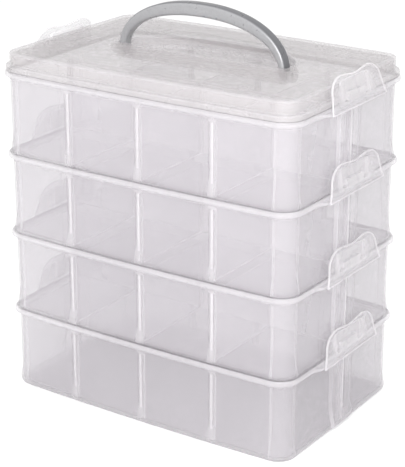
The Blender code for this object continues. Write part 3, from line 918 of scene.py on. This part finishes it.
# %% The eight latches
for level, tray in enumerate(tray_names):
    for side, side_name in ((1, "right"), (-1, "left")):
        body = f"latch_{side_name}_{level + 1}"
        turn = Matrix.Rotation(0.0 if side > 0 else math.pi, 4, "Z")
        move = Matrix.Translation((side * hinge_x, 0, level * pitch + hinge_z)) @ turn
        mesh = latch_mesh(LID_LEAN if tray == tray_names[-1] else TRAY_LEAN)
        mesh.transform(move)
        show(body + "_flap", mesh, body, [body], latch_plastic)
        mesh, start, stop = web_mesh()
        mesh.transform(move)
        mesh.shade_smooth()
        mesh.materials.append(tray_plastic)
        web = bpy.data.objects.new(body + "_hinge_web", mesh)
        bpy.context.scene.collection.objects.link(web)
        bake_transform(web)
print("latches:", 2 * len(tray_names))

# %% [markdown]
# ## The lid
# The lid is a shallow cap. A skirt sits over the rim of the top tray, a spigot inside it centres the lid,
# and a well sunk into its top takes the folded handle. One could make the cap and cut the well out with a
# Boolean, but the cut would leave a sharp edge and an uneven wall. So cap and well are one ringed skin that
# starts in the middle of the well's floor, comes up over the well's rim, runs across the top, down the
# skirt and up the inside, and ends under the well.

# %% Sizes of the lid and its well
LID_INSET = 1.7 * mm
SKIRT_HEIGHT = 10.0 * mm
SKIRT_GAP = 0.3 * mm
SKIRT_REACH = 1.5 * mm
TRUNNION_RADIUS = 2.4 * mm
TRUNNION_LENGTH = 3.8 * mm
WELL_GAP = 0.7 * mm
WELL_WALL = 1.6 * mm
WELL_CORNER = 1.5 * mm
FULLNESS = 2.15
lid_low, lid_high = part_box("lid")
handle_low, handle_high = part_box("handle")
pivot = Vector((0, *joint_place("handle_fold")[1:]))
lid_top = lid_high.z
bead_top = stack_top + (tray_height - pitch)
skirt_bottom = bead_top + SKIRT_GAP
skirt_top = lid_top - SKIRT_HEIGHT
handle_depth = handle_high.y - handle_low.y
handle_half_span = handle_high.x - TRUNNION_LENGTH
handle_reach = handle_high.z - pivot.z
well_floor = pivot.z - handle_depth / 2 - 0.3 * mm
well_middle = Vector((0.0, pivot.y + 0.4 * handle_reach))
print("pivot z, mm:", round(pivot.z / mm, 2), "half span, mm:", round(handle_half_span / mm, 2))

# %% The plans of the lid and of its well
LID_STEPS = 60
HALVINGS = 30
lid_walk = walk_round(
    spread(-straight_x, straight_x, LID_STEPS),
    spread(-straight_y, straight_y, LID_STEPS),
)


def in_well(x, y, grow):
    """True inside the well's outline: straight in front with round corners, the handle's arch at the back."""
    half_x = handle_half_span + WELL_GAP + grow
    front = pivot.y - handle_depth / 2 - WELL_GAP - grow
    depth = handle_reach + WELL_GAP + grow
    corner = WELL_CORNER + grow
    if y >= pivot.y:
        return abs(x / half_x) ** FULLNESS + ((y - pivot.y) / depth) ** FULLNESS < 1
    past_x, past_y = abs(x) - half_x + corner, front + corner - y
    if past_x > 0 and past_y > 0:
        return math.hypot(past_x, past_y) < corner
    return past_x < corner and past_y < corner


def well_ring(grow, z):
    """The well's outline, with one point towards each place of the walk round the lid, found by halving."""
    ring = []
    for station in lid_walk:
        towards = (Vector(plan(station, 0.0)) - well_middle).normalized()
        near, far = 0.0, handle_half_span * 2
        for _ in range(HALVINGS):
            reach = (near + far) / 2
            point = well_middle + towards * reach
            if in_well(point.x, point.y, grow):
                near = reach
            else:
                far = reach
        ring.append((point.x, point.y, z))
    return ring


def lid_ring(offset, z):
    """The lid's outline at an offset and a height."""
    return [(*plan(station, offset), z) for station in lid_walk]


def between(first, second, share):
    """A ring part of the way from one ring to another."""
    return [tuple(Vector(a).lerp(Vector(b), share)) for a, b in zip(first, second)]


def quarter(steps):
    """Pairs of shares that run round a quarter of a circle: how far across and how far up."""
    turns = [math.radians(90) * step / steps for step in range(steps + 1)]
    return [(1 - math.sin(turn), 1 - math.cos(turn)) for turn in turns]


print("places round the lid:", len(lid_walk))

# %% Rings of the well and of the lid's outside
# Rounded edges, the well's flared rim and the skirt's foot are marked whiter, partly for plastic seen edge-on
# and partly as a painted highlight.
WELL_FILLET = 1.5 * mm
WELL_FLARE = 0.9 * mm
TOP_ROUND = 1.4 * mm
SKIRT_ROUND = 0.8 * mm
lid_wall = -LID_INSET


def well_inside():
    """Rings and looks from the middle of the well's floor up to its flared rim."""
    steps = [(-WELL_FILLET - 2.0 * mm, well_floor, 0.1)]
    steps += [(-WELL_FILLET * across, well_floor + WELL_FILLET * up, 0.6) for across, up in quarter(4)]
    steps += [(0.0, z, 0.1) for z in (well_floor + 4.0 * mm, lid_top - WELL_FLARE - 2.0 * mm)]
    steps += [(WELL_FLARE * up, lid_top - WELL_FLARE * across, 1.0) for across, up in quarter(4)]
    return [(well_ring(grow, z), look) for grow, z, look in steps]


def lid_outside():
    """Rings and looks across the top and down to the foot of the skirt."""
    rim, verge = well_ring(WELL_FLARE, lid_top), lid_ring(lid_wall - TOP_ROUND, lid_top)
    made = [(between(rim, verge, share), 0.0) for share in (0.04, 0.3, 0.7, 0.96)]
    steps = [(lid_wall - TOP_ROUND * across, lid_top - TOP_ROUND * up, 1.0) for across, up in quarter(5)]
    steps += [
        (lid_wall, lid_top - TOP_ROUND - 1.0 * mm, 0.2),
        (lid_wall, skirt_top + 1.6 * mm, 0.2),
        (lid_wall, skirt_top + 0.7 * mm, 0.8),
        (lid_wall + 0.2 * mm, skirt_top + 0.2 * mm, 1.0),
        (lid_wall + 0.7 * mm, skirt_top, 1.0),
    ]
    steps += [
        (SKIRT_REACH - SKIRT_ROUND * across, skirt_top - SKIRT_ROUND * up, 1.0) for across, up in quarter(3)
    ]
    steps += [
        (SKIRT_REACH, skirt_top - 1.6 * mm, 0.5),
        (SKIRT_REACH, skirt_bottom + 0.3 * mm, 0.8),
        (SKIRT_REACH - 0.3 * mm, skirt_bottom, 1.0),
    ]
    return made + [(lid_ring(offset, z), look) for offset, z, look in steps]


lid_rings = well_inside() + lid_outside()
print("rings so far:", len(lid_rings))

# %% Rings of the lid's inside
SPIGOT_REACH = 1.0 * mm
SPIGOT_INNER = 2.1 * mm
UNDER_ROUND = 1.2 * mm


def lid_inside():
    """Rings and looks up the inside: the spigot that sits in the top tray, and then the wall."""
    inner = lid_wall - WALL
    steps = [
        (0.0, skirt_bottom, 0.8),
        (-0.7 * mm, stack_top + 0.4 * mm, 0.8),
        (-SPIGOT_REACH, stack_top, 0.8),
        (-SPIGOT_INNER + 0.3 * mm, stack_top, 0.8),
        (-SPIGOT_INNER, stack_top + 0.3 * mm, 0.8),
        (-SPIGOT_INNER, skirt_top - 1.4 * mm, 0.4),
        (inner, skirt_top + 0.6 * mm, 0.4),
        (inner, lid_top - 2.8 * mm, 0.2),
        (inner - 0.3 * mm, lid_top - 2.1 * mm, 0.5),
    ]
    return [(lid_ring(offset, z), look) for offset, z, look in steps]


def underside():
    """Rings and looks under the top, and down round the well to the middle of its underside."""
    under = lid_top - WELL_WALL - 0.2 * mm
    verge, rim = lid_ring(lid_wall - WALL - 1.0 * mm, under), well_ring(WELL_WALL + 0.5 * mm, under)
    flat = ((0.0, 0.4), (0.05, 0.0), (0.95, 0.0), (1.0, 0.4))
    made = [(between(verge, rim, share), look) for share, look in flat]
    foot = well_floor - WELL_WALL
    steps = [(WELL_WALL, under - 0.5 * mm, 0.4), (WELL_WALL, well_floor, 0.2)]
    steps += [(WELL_WALL - UNDER_ROUND * up, foot + UNDER_ROUND * across, 0.6) for across, up in quarter(3)]
    steps.append((WELL_WALL - 4.0 * mm, foot, 0.1))
    return made + [(well_ring(grow, z), look) for grow, z, look in steps]


lid_rings += lid_inside() + underside()
print("rings of the lid:", len(lid_rings))

# %% [markdown]
# ### Bosses and bores
# The handle turns in two blind bores. Beside each end of the well a half-round boss gives the bore the
# depth that a thin wall lacks. Bosses and bores cross the rings of the lid, so these are joined and cut by
# Booleans.

# %% The finished lid
BOSS_RADIUS = 6.0 * mm
BOSS_STEPS = 16
BAR_STEPS = 32
BORE_GAP = 0.3 * mm


def across_pivot(u, v, depth):
    """Places a point of a plate that stands across the pivot line."""
    return depth, pivot.y + u, v


def boss(side):
    """A half-round cheek beside the well that holds one trunnion."""
    near = handle_half_span + WELL_GAP + WELL_WALL / 2
    far = handle_half_span + TRUNNION_LENGTH + 2.4 * mm
    top = lid_top - 0.9 * mm
    outline = [(BOSS_RADIUS, top), (-BOSS_RADIUS, top)]
    for step in range(BOSS_STEPS + 1):
        angle = math.pi * (1 + step / BOSS_STEPS)
        outline.append((BOSS_RADIUS * math.cos(angle), pivot.z + BOSS_RADIUS * math.sin(angle)))
    low, high = sorted([side * near, side * far])
    return soft_plate("boss", outline, low, high, 0.4 * mm, across_pivot, 2, 0.6)


def round_bar(name, radius, low, high, softness):
    """A round bar along the pivot line."""
    turns = [math.tau * step / BAR_STEPS for step in range(BAR_STEPS)]
    outline = [(radius * math.cos(turn), pivot.z + radius * math.sin(turn)) for turn in turns]
    return soft_plate(name, outline, low, high, softness, across_pivot, 2)


def lid_mesh():
    """The ringed cap with its bosses joined on and the two bores cut."""
    cap = skin("cap", [ring for ring, _ in lid_rings], [look for _, look in lid_rings])
    steps = [("UNION", boss(1)), ("UNION", boss(-1))]
    bore = TRUNNION_RADIUS + BORE_GAP
    reach = handle_half_span + TRUNNION_LENGTH + BORE_GAP
    for side in (-1, 1):
        edges = sorted([side * (handle_half_span - 1.0 * mm), side * reach])
        steps.append(("DIFFERENCE", round_bar("bore", bore, *edges, 0.1 * mm)))
    return combined(cap, steps)


mesh = lid_mesh()
show("lid_cap", mesh, "lid", ["lid"], lid_plastic)
print("lid faces:", len(mesh.polygons))

# %% [markdown]
# ## The handle
# The handle is a flat arch of solid plastic in silver-grey, a squarish bar with soft edges that is thickest
# at its crown and rounds off at both feet. Bevelling a curve would give it a constant section. Rings that
# run from an inner to an outer arch let the bar thicken towards the crown. Both arches have fuller
# shoulders than an ellipse, which a slightly higher power than the ellipse's 2 gives.

# %% The handle's finish
FLAKE_SCALE = 900.0
SHEEN_SCALE = 200.0
BAR_WAVE_SCALE = 60.0
BAR_WAVE_DEPTH = 0.1 * mm


def silver_plastic():
    """Silver-grey plastic: fine metal flake in the colour, and a darker outer band."""
    material = bpy.data.materials.new("silver_grey_handle_plastic")
    nodes, links = nodes_for(material)
    shader = nodes["Principled BSDF"]
    shader.inputs["Metallic"].default_value = 0.25
    shader.inputs["IOR"].default_value = 1.5
    place = nodes.new("ShaderNodeTexCoord").outputs["Object"]
    flake = noise(nodes, links, place, FLAKE_SCALE, 2.0, 0.0, 1.0)
    body = mixed(nodes, links, flake, (0.31, 0.31, 0.32), (0.35, 0.35, 0.36))
    tint = mixed(nodes, links, mark_of(nodes, "outer_band"), body, (0.13, 0.13, 0.14))
    links.new(tint, shader.inputs["Base Color"])
    links.new(noise(nodes, links, place, SHEEN_SCALE, 3.0, 0.26, 0.36), shader.inputs["Roughness"])
    links.new(waves(nodes, links, place, BAR_WAVE_SCALE, 0.3, BAR_WAVE_DEPTH), shader.inputs["Normal"])
    return material


handle_plastic = silver_plastic()
print("finish:", handle_plastic.name)

# %% The section and the arch of the bar
FOOT_THICKNESS = 6.0 * mm
FOOT_STEPS = 10
FOOT_TURN = math.radians(84)
CROWN_THICKNESS = 10.7 * mm
ARCH_STEPS = 72
EDGE_ROUND = 2.4 * mm
EDGE_STEPS = 6


def bar_ring(outer, inner, half_depth):
    """A rounded square section between the outer and the inner edge of the arch."""
    middle = (outer + inner) / 2
    across = (outer - inner).normalized()
    half = (outer - inner).length / 2
    radius = min(EDGE_ROUND, half * 0.98, half_depth * 0.98)
    ring = []
    for corner, (side_r, side_d) in enumerate([(1, 1), (-1, 1), (-1, -1), (1, -1)]):
        for step in range(EDGE_STEPS + 1):
            angle = math.radians(90 * corner + 90 * step / EDGE_STEPS)
            radial = side_r * (half - radius) + radius * math.cos(angle)
            depth = side_d * (half_depth - radius) + radius * math.sin(angle)
            ring.append(middle + across * radial + Vector((0, depth, 0)))
    return ring


def arch(half_span, height, angle):
    """A point on an arch above the pivot line."""
    along, up = math.cos(angle), math.sin(angle)
    share = 2 / FULLNESS
    x = math.copysign(abs(along) ** share, along) * half_span
    return pivot + Vector((x, 0, abs(up) ** share * height))


print("points of the bar's section:", len(bar_ring(Vector((1, 0, 0)), Vector((0, 0, 0)), 1)))

# %% The handle's bar and trunnions


def foot_rings(side):
    """The half-round foot below the pivot line, from its lowest ring up."""
    half = handle_depth / 2
    reaches = (handle_half_span, handle_half_span - FOOT_THICKNESS)
    rings = []
    for step in range(FOOT_STEPS, 0, -1):
        angle = FOOT_TURN * step / FOOT_STEPS
        drop = pivot + Vector((0, 0, -half * math.sin(angle)))
        ends = [drop + Vector((side * x, 0, 0)) for x in reaches]
        rings.append(bar_ring(*ends, half * math.cos(angle)))
    return rings


def handle_mesh():
    """The arched bar from foot to foot, with a trunnion joined to each foot."""
    inner_span, inner_reach = handle_half_span - FOOT_THICKNESS, handle_reach - CROWN_THICKNESS
    rings = foot_rings(1)
    for step in range(ARCH_STEPS + 1):
        angle = math.pi * step / ARCH_STEPS
        outer = arch(handle_half_span, handle_reach, angle)
        rings.append(bar_ring(outer, arch(inner_span, inner_reach, angle), handle_depth / 2))
    rings += reversed(foot_rings(-1))
    start = handle_half_span - FOOT_THICKNESS / 2
    pins = []
    for side in (-1, 1):
        edges = sorted([side * start, side * (handle_half_span + TRUNNION_LENGTH)])
        pins.append(("UNION", round_bar("pin", TRUNNION_RADIUS, *edges, 0.3 * mm)))
    return combined(skin("bar", rings), pins)


# %% The outer band and the finished handle
BAND_START = 0.55
BAND_BLEND = 0.3


def mark_outer_band(mesh):
    """How much each point faces away from the arch's middle, kept with the mesh for the finish to read."""
    attribute = mesh.attributes.new("outer_band", "FLOAT", "POINT")
    for index, vertex in enumerate(mesh.vertices):
        x, z = vertex.co.x / handle_half_span, (vertex.co.z - pivot.z) / handle_reach
        slope = math.copysign(abs(x) ** (FULLNESS - 1), x)
        outward = Vector((slope / handle_half_span, 0, max(z, 0.0) / handle_reach)).normalized()
        share = (vertex.normal.dot(outward) - BAND_START) / BAND_BLEND
        attribute.data[index].value = min(max(share, 0.0), 1.0)


mesh = handle_mesh()
mark_outer_band(mesh)
show("handle_bar", mesh, "handle", ["handle"], handle_plastic)
print("handle faces:", len(mesh.polygons))

# %% [markdown]
# ## Table, light and camera
# A box of pale plastic shows its shape through soft edges and thin shadows, so it stands on a plain white
# table under a wide, even light. A bright world gives the even part, and two large soft lamps give the
# front and the right end different tones. Light passes through many thin walls here, so the number of see-
# through steps that a ray may take is raised. A long lens at a distance keeps the upright edges nearly
# parallel.

# %% Table
TABLE_SIZE = 30.0
TABLE_GAP = 0.2 * mm
table_half = TABLE_SIZE / 2
table_mesh = bpy.data.meshes.new("table")
table_corners = [(x * table_half, y * table_half, 0) for x, y in ((-1, -1), (1, -1), (1, 1), (-1, 1))]
table_mesh.from_pydata(table_corners, [], [(0, 1, 2, 3)])
table = bpy.data.objects.new("table", table_mesh)
table.location.z = tray_low.z - TABLE_GAP
bpy.context.scene.collection.objects.link(table)
white = bpy.data.materials.new("white_table")
nodes, links = nodes_for(white)
nodes["Principled BSDF"].inputs["Roughness"].default_value = 0.8
nodes["Principled BSDF"].inputs["Base Color"].default_value = (0.95, 0.95, 0.95, 1.0)
table_mesh.materials.append(white)
print("table, m:", TABLE_SIZE)

# %% Light
world = bpy.data.worlds.new("soft_room")
bpy.context.scene.world = world
world.use_nodes = True
world.node_tree.nodes["Background"].inputs["Color"].default_value = (1.0, 1.0, 1.0, 1.0)
world.node_tree.nodes["Background"].inputs["Strength"].default_value = 1.0


def soft_lamp(name, place, aim, size, power):
    """A square lamp that points from a place to an aim."""
    lamp = bpy.data.lights.new(name, "AREA")
    lamp.shape = "SQUARE"
    lamp.size = size
    lamp.energy = power
    holder = bpy.data.objects.new(name, lamp)
    holder.location = place
    holder.rotation_euler = (Vector(aim) - Vector(place)).to_track_quat("-Z", "Y").to_euler()
    bpy.context.scene.collection.objects.link(holder)


middle = (cad_low + cad_high) / 2
soft_lamp("key_lamp", (0.62, -1.0, 0.75), middle, 0.8, 16.0)
soft_lamp("top_lamp", (-0.2, 0.1, 1.8), middle, 1.5, 4.0)
bpy.context.scene.view_settings.view_transform = "Standard"
bpy.context.scene.cycles.transparent_max_bounces = 64
bpy.context.scene.cycles.max_bounces = 16
print("lamps:", [lamp.name for lamp in bpy.data.lights])

# %% Camera
CAMERA_TURN = math.radians(33.95)
CAMERA_TILT = math.radians(20.61)
CAMERA_LENS = 120.2
camera_data = bpy.data.cameras.new("camera")
camera_data.lens = CAMERA_LENS
camera = bpy.data.objects.new("camera", camera_data)
camera.location = (0.6601, -0.9792, 0.5777)
camera.rotation_euler = (math.radians(90) - CAMERA_TILT, 0, CAMERA_TURN)
bpy.context.scene.collection.objects.link(camera)
bpy.context.scene.camera = camera
print("lens, mm:", CAMERA_LENS)
